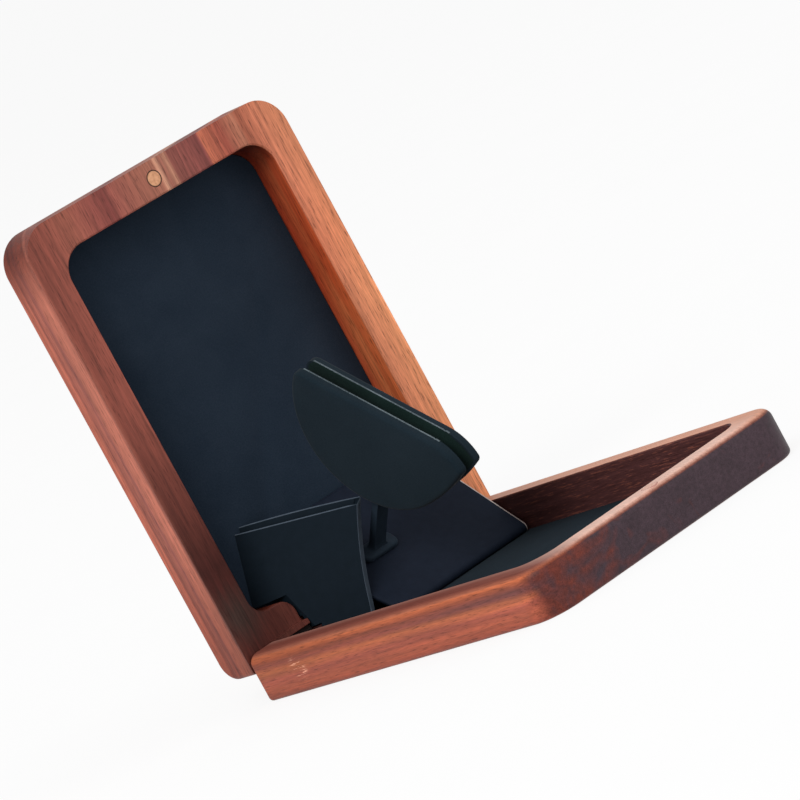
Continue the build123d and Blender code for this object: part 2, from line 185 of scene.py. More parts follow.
def makeStudio():
    bm = bmesh.new()
    bmesh.ops.create_grid(bm, x_segments=1, y_segments=1, size=studio["floorSize"] / 2)
    bmesh.ops.translate(bm, verts=bm.verts, vec=studio["floorPlace"])
    floor = finishPiece(bm, "floor", [makeStudioPaper()])
    world = bpy.data.worlds.new("softRoom")
    world.use_nodes = True
    world.node_tree.nodes.clear()
    lightPath = addNode(world, "LightPath")
    room = addNode(world, "Background", {"Color": (1, 1, 1, 1), "Strength": studio["worldLight"]})
    seen = addNode(world, "Background", {"Color": (1, 1, 1, 1), "Strength": 1.0})
    both = addNode(world, "MixShader", links={0: (lightPath, "Is Camera Ray"), 1: room, 2: seen})
    addNode(world, "OutputWorld", links={"Surface": both})
    bpy.context.scene.world = world
    for name, (place, size, power) in studio["lamps"].items():
        addLamp(name, place, size, power)
    bpy.context.scene.view_settings.view_transform = "Standard"


makeStudio()
print("studio made")


# wood; places in metres, sizes of its figure in mm

noiseSpan = {"From Min": 0.3, "From Max": 0.7}      # what noise covers, out of 0 to 1

woodFinish = {
    # growth bands, streaks, and pores with fibres: mm across and along the board, detail, shade low and high
    "layers": ((4.5, 90.0, 3.0, 0.88, 1.10), (0.7, 24.0, 4.0, 0.74, 1.24), (0.20, 2.6, 2.0, 0.84, 1.18)),
    "pores": (0.30, 0.40, 0.5),     # full at this depth, gone at that one, and how dark
    "poreColour": "3A1A16",
    "roughness": (0.40, 0.54),
    "shine": 0.2,
    "bump": 0.3,
    "bumpDepth": 0.06,
    "calmBump": 0.05,               # where the wood is sanded smoother
    "calmShare": 0.65,
}

lidWood = {
    "turn": (0.0, 0.0, 0.0),
    "rimY": 0.0415,
    "leanBack": -1.2,               # how far the growth bands lean from the rim into the thickness
    "wander": 0.0016,
    "bands": [(0.0, "B8634E"), (0.085, "B4634F"), (0.097, "8A4B40"), (0.110, "AC6150"), (0.124, "93534A"),
              (0.136, "B46855"), (0.17, "BC6F5B"), (0.20, "7F4236"), (0.26, "8A493C"), (0.33, "965545"),
              (0.40, "8F4C42"), (0.45, "7C3E38"), (0.48, "985549"), (0.54, "9A5C4C"), (0.61, "A86A56"),
              (0.62, "C58E74"), (0.63, "94584A"), (0.645, "BE846B"), (0.656, "824940"), (0.755, "844540"),
              (0.762, "C06C50"), (0.82, "A05340"), (0.868, "BC7A5C"), (0.878, "B4674B"), (0.92, "D6835F"),
              (1.0, "E39366")],
    # shades over the lid's height, on the left rim (painted shade), the side face (painted shade at its low
    # end), the right rim and in the pocket (painted light and shade)
    "leftRimPaintedShade": [(0.0, "A6A0A6"), (0.15, "A09AA2"), (0.27, "88848C"), (0.60, "FFFFFF")],
    # the side face's low end, by the hinge and the base, is painted shade
    "sideShades": [(0.01, "8E7C7A"), (0.07, "CFC3BD"), (0.36, "FFFFFF"), (0.84, "FFFFFF"), (0.95, "9E8480")],
    "rightShades": [(0.0, "FFFFFF"), (0.55, "FFFFFF"), (0.68, "F2E8EA"), (0.88, "E8E2EA")],
    "pocketPaintedLight": [(0.48, "F6D2AC"), (0.62, "E3AE8A"), (0.84, "D9A888"), (0.90, "7E5E58")],
    # where each of these starts and is full, and how strong it is then
    "across": (-0.044, 0.030, 1.0),
    "tall": (0.0, 0.09, 1.0),
    "notSide": (-0.0309, -0.0300, 1.0),
    "left": (-0.010, -0.020, 1.0),
    "right": (0.010, 0.016, 1.0),
    "below": (0.0002, 0.0006, 1.0),
    "smokeReach": (0.0065, 0.001, 0.65),
    "smokePlace": (-0.0275, 0.0415, 0.0150),
    "smokeRagged": 0.006,
    "smokeColour": "38332E",
    "pocketTo": (0.02425, 0.0495, 0.085),       # its sides, floor and end, along X, Y and Z
    "pocketPaintedGlow": 1.4,
}

baseWood = {
    "turn": (math.radians(90), 0.0, 0.0),
    "wander": 0.0024,
    "bands": [(0.0, "934938"), (0.22, "A8573F"), (0.42, "A25342"), (0.60, "B4633F"), (0.70, "944B3B"),
              (0.80, "92482F"), (0.90, "B05D3A"), (1.0, "A56750")],
    "smearHeight": 0.0062,
    "smearColour": "5C3A3C",
    "fleckPlace": (-0.030, 0.0288, 0.0043),
    "fleckColour": "EBAF92",
    "paleRimAndReflection": "EABFAE",
    "farRimAndReflection": "DA9D82",
    "nearRim": "80463A",
    "insideTo": 0.0249,
    "insideFrom": 0.0345,           # all that lies nearer the hinge than this counts as inside
    "insideFacing": -0.5,
    "inside": "5F3938",
    "insideFibre": "8C5244",
    "clouds": (6.0, 3.0, 1.4),      # size, detail and distortion
    "endDarkAndShade": "403138",
    "endRed": "682F25",
    # from where to where each of these goes, and its values there
    "thick": (0.0, 0.0086, 0.0, 1.0),
    "gain": (0.030, -0.035, 0.94, 1.18),        # the near wall brightens towards the free end
    "smear": (0.0016, 0.0002, 0.0, 1.0),
    "smearAlong": (0.022, -0.034, 0.0, 0.75),
    "fibres": (0.58, 0.66, 0.0, 0.9),
    "fleckReach": (0.0026, 0.0014, 0.0, 1.0),
    "upwards": (0.6, 0.95, 0.0, 1.0),
    "notNear": (-0.027, -0.016, 0.0, 1.0),
    "atFar": (0.018, 0.026, 0.0, 1.0),
    "hingeShade": (-0.012, 0.026, 1.0, 0.5),
    "endwise": (0.28, 0.68, 0.0, 1.0),
    "level": (0.85, 0.5, 0.0, 1.0),
    "byCorner": (0.004, -0.026, -0.12, 0.32),
    "redder": (0.55, 0.88, 0.0, 1.0),
}


def startWood(name, look):
    # the coordinates, whole and split, noise drawn out along the board, once for each layer of the
    # grain, and how far the growth bands wander
    material = newMaterial(name)
    place = addNode(material, "TexCoord")
    split = addNode(material, "SeparateXYZ", links={0: (place, "Object")})
    along = addNode(material, "Mapping", {"Rotation": look["turn"]}, {"Vector": (place, "Object")})
    layers = []
    for across, length, detail, _, _ in woodFinish["layers"]:
        scale = (1 / (across * mm), 1 / (across * mm), 1 / (length * mm))
        stretched = addNode(material, "Mapping", {"Scale": scale}, {"Vector": along})
        layers.append(addNode(material, "TexNoise", {"Scale": 1.0, "Detail": detail, "Roughness": 0.6,
                              "Distortion": 0.15}, {"Vector": stretched}))
    wander = addNode(material, "Math", {"operation": "MULTIPLY_ADD", 1: look["wander"],
                     2: -look["wander"] / 2}, {0: layers[0]})
    return material, place, split, layers, wander


def closeWood(material, tone, layers, calm=None):
    # the grain shades the tone and opens dark pores in it; an oiled, satin surface
    _, streaks, fibres = layers
    shade = tone
    for layer, (*_, low, high) in zip(layers, woodFinish["layers"]):
        strength = addNode(material, "MapRange", {**noiseSpan, "To Min": low, "To Max": high}, {"Value": layer})
        shade = addNode(material, "VectorMath", {"operation": "SCALE"}, {0: shade, "Scale": strength})
    full, gone, dark = woodFinish["pores"]
    pores = addNode(material, "MapRange", {"From Min": full, "From Max": gone, "To Min": dark, "To Max": 0.0},
                    {"Value": fibres})
    pored = addNode(material, "Mix", {"data_type": "RGBA", 7: woodFinish["poreColour"]}, {0: pores, 6: shade})
    height = addNode(material, "Math", {"operation": "ADD"}, {0: streaks, 1: fibres})
    bumpLinks = {"Height": height}
    if calm:
        # sanded smoother where calm says so
        bumpLinks["Strength"] = addNode(material, "MapRange", {"To Min": woodFinish["bump"],
                                        "To Max": woodFinish["calmBump"]}, {"Value": calm})
        share = addNode(material, "Math", {"operation": "MULTIPLY", 1: woodFinish["calmShare"]}, {0: calm})
        pored = addNode(material, "Mix", {"data_type": "RGBA"}, {0: share, 6: (pored, 2), 7: tone})
    bump = addNode(material, "Bump", {"Strength": woodFinish["bump"], "Distance": woodFinish["bumpDepth"] * mm},
                   bumpLinks)
    low, high = woodFinish["roughness"]
    gloss = addNode(material, "MapRange", {**noiseSpan, "To Min": low, "To Max": high}, {"Value": streaks})
    surface = addNode(material, "BsdfPrincipled", {"IOR": 1.5, "Specular IOR Level": woodFinish["shine"]},
                      {"Base Color": (pored, 2), "Roughness": gloss, "Normal": bump})
    addNode(material, "OutputMaterial", links={"Surface": surface})


def makeLidWood():
    # oiled red-brown hardwood, straight-grained along the lid: side by side growth bands from dark
    # brown-red on the left to orange on the right, painted shade low on the left rim, and a satin sheen
    material, place, split, layers, wander = startWood("oiledHardwoodLid", lidWood)
    depth = addNode(material, "Math", {"operation": "SUBTRACT", 1: lidWood["rimY"]}, {0: (split, "Y")})
    lean = addNode(material, "Math", {"operation": "MULTIPLY_ADD", 1: lidWood["leanBack"]},
                   {0: depth, 2: (split, "X")})
    line = addNode(material, "Math", {"operation": "ADD"}, {0: lean, 1: wander})
    away = addNode(material, "VectorMath", {"operation": "DISTANCE", 1: lidWood["smokePlace"]},
                   {0: (place, "Object")})
    ragged = addNode(material, "Math", {"operation": "MULTIPLY_ADD", 1: lidWood["smokeRagged"],
                     2: -lidWood["smokeRagged"] / 2}, {0: layers[1]})
    away = addNode(material, "Math", {"operation": "ADD"}, {0: (away, "Value"), 1: ragged})
    fades = {}
    for name, source in (("across", line), ("tall", (split, "Z")), ("notSide", lean), ("left", lean),
                         ("right", lean), ("below", depth), ("smokeReach", away)):
        start, end, full = lidWood[name]
        fades[name] = addNode(material, "MapRange", {"From Min": start, "From Max": end, "To Max": full},
                              {"Value": source})
    tone = addNode(material, "ValToRGB", links={"Fac": fades["across"]})
    setRamp(tone, lidWood["bands"])
    # painted shade darkens the left rim towards the hinge and the side face at its low end; the side face also
    # darkens at its top, and the right rim at the top
    leftRim = addNode(material, "Math", {"operation": "MULTIPLY"}, {0: fades["left"], 1: fades["notSide"]})
    side = addNode(material, "Math", {"operation": "SUBTRACT", 0: 1.0}, {1: fades["notSide"]})
    shaded = tone
    for share, stops in ((leftRim, "leftRimPaintedShade"), (side, "sideShades"), (fades["right"], "rightShades")):
        shade = addNode(material, "ValToRGB", links={"Fac": fades["tall"]})
        setRamp(shade, lidWood[stops])
        shaded = (addNode(material, "Mix", {"data_type": "RGBA", "blend_type": "MULTIPLY"},
                          {0: share, 6: shaded, 7: shade}), 2)
    # a smoky knot low on that rim
    smoke = addNode(material, "Math", {"operation": "MULTIPLY"}, {0: fades["smokeReach"], 1: fades["notSide"]})
    smoked = (addNode(material, "Mix", {"data_type": "RGBA", 7: lidWood["smokeColour"]},
                      {0: smoke, 6: shaded}), 2)
    # painted light in the pocket: its walls are a deeper orange, as warm light thrown between them, brighter low
    # down, with painted shadow dark in the top corner
    wide = addNode(material, "Math", {"operation": "ABSOLUTE"}, {0: (split, "X")})
    share = fades["below"]
    for source, limit in zip((wide, (split, "Y"), (split, "Z")), lidWood["pocketTo"]):
        within = addNode(material, "Math", {"operation": "LESS_THAN", 1: limit}, {0: source})
        share = addNode(material, "Math", {"operation": "MULTIPLY"}, {0: share, 1: within})
    lifted = addNode(material, "VectorMath", {"operation": "SCALE", "Scale": lidWood["pocketPaintedGlow"]}, {0: smoked})
    shade = addNode(material, "ValToRGB", links={"Fac": fades["tall"]})
    setRamp(shade, lidWood["pocketPaintedLight"])
    paintedPocket = addNode(material, "VectorMath", {"operation": "MULTIPLY"}, {0: lifted, 1: shade})
    colour = addNode(material, "Mix", {"data_type": "RGBA"}, {0: share, 6: smoked, 7: paintedPocket})
    closeWood(material, (colour, 2), layers)
    return material


def makeBaseWood():
    # the same hardwood, its grain along the base: orange-red near wall, rims paled by painted reflection,
    # a dark oiled end grain deepened by painted shade, dark heartwood in the tray, painted shade by the hinge
    material, place, split, layers, wander = startWood("oiledHardwoodBase", baseWood)
    facing = addNode(material, "SeparateXYZ", links={0: (place, "Normal")})
    height = addNode(material, "Math", {"operation": "ADD"}, {0: (split, "Z"), 1: wander})
    off = addNode(material, "Math", {"operation": "SUBTRACT", 1: baseWood["smearHeight"]}, {0: height})
    off = addNode(material, "Math", {"operation": "ABSOLUTE"}, {0: off})
    away = addNode(material, "VectorMath", {"operation": "DISTANCE", 1: baseWood["fleckPlace"]},
                   {0: (place, "Object")})
    endwise = addNode(material, "Math", {"operation": "ABSOLUTE"}, {0: (facing, "Y")})
    fades = {}
    for name, source in (("thick", height), ("gain", (split, "Y")), ("smear", off), ("smearAlong", (split, "Y")),
                         ("fibres", layers[2]), ("fleckReach", (away, "Value")), ("upwards", (facing, "Z")),
                         ("notNear", (split, "X")), ("atFar", (split, "X")), ("hingeShade", (split, "Y")),
                         ("endwise", endwise), ("level", (facing, "Z")), ("byCorner", (split, "X"))):
        start, end, low, high = baseWood[name]
        fades[name] = addNode(material, "MapRange", {"From Min": start, "From Max": end, "To Min": low,
                              "To Max": high}, {"Value": source})
    tone = addNode(material, "ValToRGB", links={"Fac": fades["thick"]})
    setRamp(tone, baseWood["bands"])
    colour = addNode(material, "VectorMath", {"operation": "SCALE"}, {0: tone, "Scale": fades["gain"]})
    # a dark smear runs below the near rim towards the free end, and a few pale fibres lie near the hinge
    for across, along, code in (("smear", "smearAlong", "smearColour"), ("fibres", "fleckReach", "fleckColour")):
        share = addNode(material, "Math", {"operation": "MULTIPLY"}, {0: fades[across], 1: fades[along]})
        colour = (addNode(material, "Mix", {"data_type": "RGBA", 7: baseWood[code]}, {0: share, 6: colour}), 2)
    # rims: brown along the near wall, pale along the free end and the far wall, the wood's colour paled by a
    # painted reflection of the bright room at a grazing view
    rim = addNode(material, "Mix", {"data_type": "RGBA", 6: baseWood["paleRimAndReflection"],
                  7: baseWood["farRimAndReflection"]}, {0: fades["atFar"]})
    rim = addNode(material, "Mix", {"data_type": "RGBA", 6: baseWood["nearRim"]},
                  {0: fades["notNear"], 7: (rim, 2)})
    rimmed = addNode(material, "Mix", {"data_type": "RGBA"}, {0: fades["upwards"], 6: colour, 7: (rim, 2)})
    # inside the tray, with painted shade dimming it to half towards the hinge
    sideways = addNode(material, "Math", {"operation": "LESS_THAN", 1: baseWood["insideFacing"]},
                       {0: (facing, "X")})
    byHinge = addNode(material, "Math", {"operation": "GREATER_THAN", 1: baseWood["insideFrom"]},
                      {0: (split, "Y")})
    share = addNode(material, "Math", {"operation": "MAXIMUM"}, {0: sideways, 1: byHinge})
    for operation, limit in (("LESS_THAN", baseWood["insideTo"]), ("GREATER_THAN", -baseWood["insideTo"])):
        within = addNode(material, "Math", {"operation": operation, 1: limit}, {0: (split, "X")})
        share = addNode(material, "Math", {"operation": "MULTIPLY"}, {0: share, 1: within})
    inner = addNode(material, "Mix", {"data_type": "RGBA", 6: baseWood["inside"],
                    7: baseWood["insideFibre"]}, {0: fades["fibres"]})
    inner = addNode(material, "VectorMath", {"operation": "SCALE"}, {0: (inner, 2), "Scale": fades["hingeShade"]})
    tray = addNode(material, "Mix", {"data_type": "RGBA"}, {0: share, 6: (rimmed, 2), 7: inner})
    # end grain: clouds of red in the dark, most of them by the near corner; the dark is oiled end grain deepened
    # by painted shade
    size, detail, distortion = baseWood["clouds"]
    clouds = addNode(material, "TexNoise", {"Scale": 1 / (size * mm), "Detail": detail,
                     "Distortion": distortion}, {"Vector": (place, "Object")})
    red = addNode(material, "Math", {"operation": "ADD", "use_clamp": True}, {0: clouds, 1: fades["byCorner"]})
    start, end, low, high = baseWood["redder"]
    redder = addNode(material, "MapRange", {"From Min": start, "From Max": end, "To Min": low, "To Max": high},
                     {"Value": red})
    endTone = addNode(material, "Mix", {"data_type": "RGBA", 6: baseWood["endDarkAndShade"],
                      7: baseWood["endRed"]}, {0: redder})
    share = addNode(material, "Math", {"operation": "MULTIPLY"}, {0: fades["endwise"], 1: fades["level"]})
    colour = addNode(material, "Mix", {"data_type": "RGBA"}, {0: share, 6: (tray, 2), 7: (endTone, 2)})
    closeWood(material, (colour, 2), layers, fades["upwards"])
    return material


plugFinish = {
    "raySize": 0.45,
    "seam": (0.80, 0.92),           # where the glue line starts and is full, over the radius
    "lid_magnet_plug": {"name": "beechDowelLid", "colour": "DCA27C", "dark": "BE8763", "glue": "2E1813",
                        "axis": 1, "atHigh": False},
    # the base's plug takes the base rim's pale colour, painted reflection included
    "base_magnet_plug": {"name": "beechDowelBase", "colour": "EABFAE", "dark": "D8A792", "glue": "C9968A",
                         "axis": 2, "atHigh": True},
}


def makeDowelWood(node):
    # pale beech dowel, cut across: fine rays, matt, with a glue line round it
    look = plugFinish[node]
    low, high = (Vector(corner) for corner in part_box(node))
    centre, axis = (low + high) / 2, look["axis"]
    centre[axis] = (high if look["atHigh"] else low)[axis]
    start, full = (share * (high.x - low.x) / 2 for share in plugFinish["seam"])
    material = newMaterial(look["name"])
    place = addNode(material, "TexCoord")
    rays = addNode(material, "TexNoise", {"Scale": 1 / (plugFinish["raySize"] * mm), "Detail": 4.0},
                   {"Vector": (place, "Object")})
    share = addNode(material, "MapRange", {"From Min": 0.35, "From Max": 0.7}, {"Value": rays})
    tone = addNode(material, "Mix", {"data_type": "RGBA", 6: look["colour"], 7: look["dark"]}, {0: share})
    away = addNode(material, "VectorMath", {"operation": "DISTANCE", 1: centre}, {0: (place, "Object")})
    seam = addNode(material, "MapRange", {"From Min": start, "From Max": full}, {"Value": (away, "Value")})
    seamed = addNode(material, "Mix", {"data_type": "RGBA", 7: look["glue"]}, {0: seam, 6: (tone, 2)})
    bump = addNode(material, "Bump", {"Strength": 0.3, "Distance": 0.03 * mm}, {"Height": rays})
    surface = addNode(material, "BsdfPrincipled", {"Roughness": 0.6, "IOR": 1.5, "Specular IOR Level": 0.2},
                      {"Base Color": (seamed, 2), "Normal": bump})
    addNode(material, "OutputMaterial", links={"Surface": surface})
    return material


# suede, leather, board and metal; sizes in mm

finish = {
    "suedePatches": 9.0,
    "patchShare": 0.55,
    "suedeFoot": (0.055, 0.015),    # the height, in metres, over which the foot's painted light comes in
    "leatherDust": 1.6,
    "boardPulp": 0.4,
    "boardColours": ("6F6B66", "98938C"),
    "metalLines": 0.12,
}


def makeSuede(name, dark, light, napSize, sheen, footPaintedLight=1.0):
    # dyed microfibre suede: very dark, matt, with a short nap that catches the light in soft patches;
    # a gain paints it lighter towards the foot of the open lid, as painted light
    material = newMaterial(name)
    place = addNode(material, "TexCoord")
    nap = addNode(material, "TexNoise", {"Scale": 1 / (napSize * mm), "Detail": 5.0, "Roughness": 0.7},
                  {"Vector": (place, "Object")})
    patches = addNode(material, "TexNoise", {"Scale": 1 / (finish["suedePatches"] * mm), "Detail": 3.0,
                      "Distortion": 0.6}, {"Vector": (place, "Object")})
    both = addNode(material, "Math", {"operation": "MULTIPLY_ADD", 1: finish["patchShare"]},
                   {0: patches, 2: nap})
    share = addNode(material, "MapRange", {"From Min": 0.55, "From Max": 1.0}, {"Value": both})
    tone = addNode(material, "Mix", {"data_type": "RGBA", 6: dark, 7: light}, {0: share})
    split = addNode(material, "SeparateXYZ", links={0: (place, "Object")})
    start, end = finish["suedeFoot"]
    gain = addNode(material, "MapRange", {"From Min": start, "From Max": end, "To Min": 1.0,
                   "To Max": footPaintedLight}, {"Value": (split, "Z")})
    tone = addNode(material, "VectorMath", {"operation": "SCALE"}, {0: (tone, 2), "Scale": gain})
    bump = addNode(material, "Bump", {"Strength": 0.35, "Distance": 0.05 * mm}, {"Height": nap})
    surface = addNode(material, "BsdfPrincipled", {"Roughness": 0.95, "IOR": 1.4, "Specular IOR Level": 0.08,
                      "Sheen Weight": sheen, "Sheen Roughness": 0.5}, {"Base Color": tone, "Normal": bump})
    addNode(material, "OutputMaterial", links={"Surface": surface})
    return material


def makeLeather(name, dark, light, pebble, roughness):
    # dyed split leather: close pebbled grain and a dull shine
    material = newMaterial(name)
    place = addNode(material, "TexCoord")
    cells = addNode(material, "TexVoronoi", {"feature": "DISTANCE_TO_EDGE", "Scale": 1 / (pebble * mm)},
                    {"Vector": (place, "Object")})
    dust = addNode(material, "TexNoise", {"Scale": 1 / (finish["leatherDust"] * mm), "Detail": 5.0},
                   {"Vector": (place, "Object")})
    tone = addNode(material, "Mix", {"data_type": "RGBA", 6: dark, 7: light}, {0: dust})
    bump = addNode(material, "Bump", {"Strength": 0.3, "Distance": 0.04 * mm}, {"Height": (cells, "Distance")})
    surface = addNode(material, "BsdfPrincipled", {"Roughness": roughness, "IOR": 1.45,
                      "Specular IOR Level": 0.12}, {"Base Color": (tone, 2), "Normal": bump})
    addNode(material, "OutputMaterial", links={"Surface": surface})
    return material


def makeGreyboard():
    # grey paperboard: flecked, matt
    material = newMaterial("greyPaperboard")
    place = addNode(material, "TexCoord")
    pulp = addNode(material, "TexNoise", {"Scale": 1 / (finish["boardPulp"] * mm), "Detail": 6.0},
                   {"Vector": (place, "Object")})
    dark, light = finish["boardColours"]
    tone = addNode(material, "Mix", {"data_type": "RGBA", 6: dark, 7: light}, {0: pulp})
    surface = addNode(material, "BsdfPrincipled", {"Roughness": 0.9}, {"Base Color": (tone, 2)})
    addNode(material, "OutputMaterial", links={"Surface": surface})
    return material


def makeDrawnMetal(name, tint, roughness):
    # drawn and turned metal: blackened on the pins, nickel on the magnets, with fine drawing lines
    material = newMaterial(name)
    place = addNode(material, "TexCoord")
    lines = addNode(material, "TexNoise", {"Scale": 1 / (finish["metalLines"] * mm), "Detail": 3.0},
                    {"Vector": (place, "Object")})
    gloss = addNode(material, "MapRange", {**noiseSpan, "To Min": roughness - 0.06, "To Max": roughness + 0.08},
                    {"Value": lines})
    surface = addNode(material, "BsdfPrincipled", {"Base Color": tint, "Metallic": 1.0}, {"Roughness": gloss})
    addNode(material, "OutputMaterial", links={"Surface": surface})
    return material


# the lid's lining is painted lighter towards its foot: painted light
liningSuede = makeSuede("navySuedeLidLining", "192430", "242E3A", 0.25, 0.04, 1.4)
# the base's lining: the same suede painted darker than the lid's, painted shade against the fuller light on its
# upward face
traySuedeShaded = makeSuede("navySuedeBaseLiningShaded", "12202A", "1B2A34", 0.25, 0.02)
padSuede = makeSuede("navySuedePad", "16222A", "1F2B33", 0.25, 0.06)
# the slot's lip: the pad's suede painted pale, a painted highlight
padLipHighlight = makeSuede("navySuedeLipHighlight", "26323A", "7A868C", 0.2, 0.1)
slotSuede = makeSuede("greenBlackSuedeSlot", "12211F", "1E302D", 0.25, 0.05)
bandLeather = makeLeather("navyLeatherBand", "141B28", "1D2533", 0.5, 0.7)
strapLeather = makeLeather("navyLeatherStrap", "0F1A22", "15202A", 0.5, 0.75)
# the strap's cut edges: burnished leather, painted lighter as highlight, most of all on the shaded end of the
# fold
cutLeatherHighlight = makeLeather("burnishedLeatherEdgeHighlight", "3E4A57", "5C6773", 0.3, 0.6)
# the stem: the band's leather painted lighter, painted light against the pad's shade on it
stemLeatherLightened = makeLeather("navyLeatherStemLightened", "202B36", "2B3743", 0.5, 0.75)
cutThin = makeLeather("rawLeatherEdge", "A0928C", "D8CAC4", 0.3, 0.7)
steel = makeDrawnMetal("blackenedSteelPin", "262020", 0.5)
nickel = makeDrawnMetal("nickelPlatedMagnet", "D2CFC8", 0.2)
greyboard = makeGreyboard()


def dressNode(name, material):
    slots = nodes[name].material_slots
    for slot in slots:
        slot.material = material
    if not slots:
        nodes[name].data.materials.append(material)


dressNode("base_shell", makeBaseWood())
dressNode("lid_shell", makeLidWood())
for nodeName in ("base_magnet_plug", "lid_magnet_plug"):
    dressNode(nodeName, makeDowelWood(nodeName))
for nodeMaterial, nodeNames in (
        (steel, ("hinge_pin_left", "hinge_pin_right", "swivel_rivet")),
        (nickel, ("base_magnet", "lid_magnet")),
        (greyboard, ("base_lining_card", "lid_lining_card", "pad_board_front", "pad_board_back", "pad_core"))):
    for nodeName in nodeNames:
        dressNode(nodeName, nodeMaterial)
print("wood, metal and board dressed")


# soft pieces; sizes in mm

def roundedFace(bm, corners, radii, segments=8):
    # a flat outline with its corners rounded
    bm.faces.new([bm.verts.new(corner) for corner in corners])
    for corner, radius in zip(corners, radii):
        nearest = min(bm.verts, key=lambda vertex: (vertex.co - Vector(corner)).length)
        bmesh.ops.bevel(bm, geom=[nearest], offset=radius * mm, offset_type="OFFSET", segments=segments,
                        profile=0.5, affect="VERTICES", material=-1)
    return bm.faces[:][0]


def bevelEdges(bm, edges, offset, segments=2):
    bmesh.ops.bevel(bm, geom=edges, offset=offset * mm, segments=segments, profile=0.5, affect="EDGES",
                    material=-1)


def onlyOf(kind, geometry):
    return [g for g in geometry if isinstance(g, kind)]


def thicken(bm, faces, step):
    # draws flat faces out into a solid; the new, outer faces are returned
    grown = bmesh.ops.extrude_face_region(bm, geom=faces)["geom"]
    bmesh.ops.translate(bm, verts=onlyOf(bmesh.types.BMVert, grown), vec=step)
    bmesh.ops.recalc_face_normals(bm, faces=bm.faces)
    return onlyOf(bmesh.types.BMFace, grown)


def insetFace(bm, face, inwards, rise=0.0, even=True):
    bmesh.ops.inset_region(bm, faces=[face], thickness=inwards * mm, depth=rise * mm, use_even_offset=even)


def cutAcross(bm, place, way, clearOuter=False, clearInner=False):
    bmesh.ops.bisect_plane(bm, geom=bm.verts[:] + bm.edges[:] + bm.faces[:], dist=1e-7, plane_co=place,
                           plane_no=way, clear_outer=clearOuter, clear_inner=clearInner)


def copyNode(node):
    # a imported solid's triangles, merged into one skin
    bm = bmesh.new()
    bm.from_mesh(nodes[node].data)
    bmesh.ops.remove_doubles(bm, verts=bm.verts, dist=0.002 * mm)
    return bm


def joinFlats(bm, degrees):
    bmesh.ops.dissolve_limit(bm, angle_limit=math.radians(degrees), verts=bm.verts, edges=bm.edges)


liningShape = {
    "corner": 4.85,
    "hingeCorner": 1.0,
    "lugHalf": 16.25,               # half the width between the lid's lugs
    "lugTop": 13.45,
    "lugHollow": 2.85,
    "lugRound": 3.15,
    "edge": 0.14,
    "baseShare": 0.99,              # of the flat rectangle that the outline fills
    "lidShare": 0.955,
}


def makeLining(name, material, corners, radii, flatAxis, upAxis, node, body):
    # suede laid over the card: the outline, its thickness, and a turned-down edge
    low, high = (Vector(corner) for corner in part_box(node))
    bm = bmesh.new()
    roundedFace(bm, corners, radii)
    step = Vector()
    step[flatAxis] = (high - low)[flatAxis] * upAxis
    thicken(bm, bm.faces[:], step)
    faceUp = max(bm.faces, key=lambda f: f.calc_center_median()[flatAxis] * upAxis)
    bevelEdges(bm, faceUp.edges[:], liningShape["edge"])
    piece = finishPiece(bm, name, [material])
    size = [(high - low)[axis] for axis in range(3) if axis != flatAxis]
    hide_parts(node)
    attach(piece, body)
    return piece, size


def makeLinings():
    corner, hingeCorner = liningShape["corner"], liningShape["hingeCorner"]
    low, high = (Vector(corner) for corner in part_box("base_lining"))
    corners = [(low.x, low.y, low.z), (high.x, low.y, low.z), (high.x, high.y, low.z), (low.x, high.y, low.z)]
    radii = [corner] * 2 + [hingeCorner] * 2
    piece, size = makeLining("baseSuede", traySuedeShaded, corners, radii, 2, 1, "base_lining", "base")
    low, high = (Vector(corner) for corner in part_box("lid_lining"))
    lug, lugTop = liningShape["lugHalf"] * mm, liningShape["lugTop"] * mm
    outline = [(low.x, high.z), (high.x, high.z), (high.x, lugTop), (lug, lugTop), (lug, low.z),
               (-lug, low.z), (-lug, lugTop), (low.x, lugTop)]
    corners = [(x, high.y, z) for x, z in outline]
    hollow, rounded = liningShape["lugHollow"], liningShape["lugRound"]
    radii = [corner] * 2 + [hollow, rounded] + [hingeCorner] * 2 + [rounded, hollow]
    piece, size = makeLining("lidSuede", liningSuede, corners, radii, 1, -1, "lid_lining", "lid")


makeLinings()
print("linings made")


# the fold of the hinge: points are given as x, along the opening's bisector, and across it towards the base
pivot = Vector((0, 39.8 * mm, 6.9 * mm))
bisector = Vector((0, -math.sqrt(0.5), math.sqrt(0.5)))
towardsBase = Vector((0, -math.sqrt(0.5), -math.sqrt(0.5)))


def fromPivot(x, along, across):
    return pivot + Vector((x, 0, 0)) * mm + bisector * along * mm + towardsBase * across * mm


# corners of the strap's own plane
strapPlace = {
    "atLid": (-14.6, 8.1, -20.0),
    "atPad": (-3.2, 19.2, -3.2),
    "atBand": (-10.1, 5.4, 7.7),
    "behind": 1.05,                 # from the middle of the strap to the edge of the band
}

bandShape = {
    "left": -16.0,
    "right": 23.4,
    "thick": 0.8,
    "middle": 6.0,                  # from the pivot to the middle of the leather
    "foldRadius": 0.55,
    "foldSteps": 6,
    "slopeSteps": 32,
    "strips": 50,
    "baseFace": 1.9,                # height of the base's lining
    "lidFace": 48.2,                # Y of the lid's lining
    "tab": 4.6,
    "pared": 0.2,
    "spareLength": 0.5,
    "areaShare": 0.95,              # of the flat rectangle that is left once it is cut to the strap
}


def runOn(bm, vertex, step):
    # a straight stretch, on from the last vertex of a line
    grown = bmesh.ops.extrude_vert_indiv(bm, verts=[vertex])["verts"]
    bmesh.ops.translate(bm, verts=grown, vec=step)
    return grown[0]


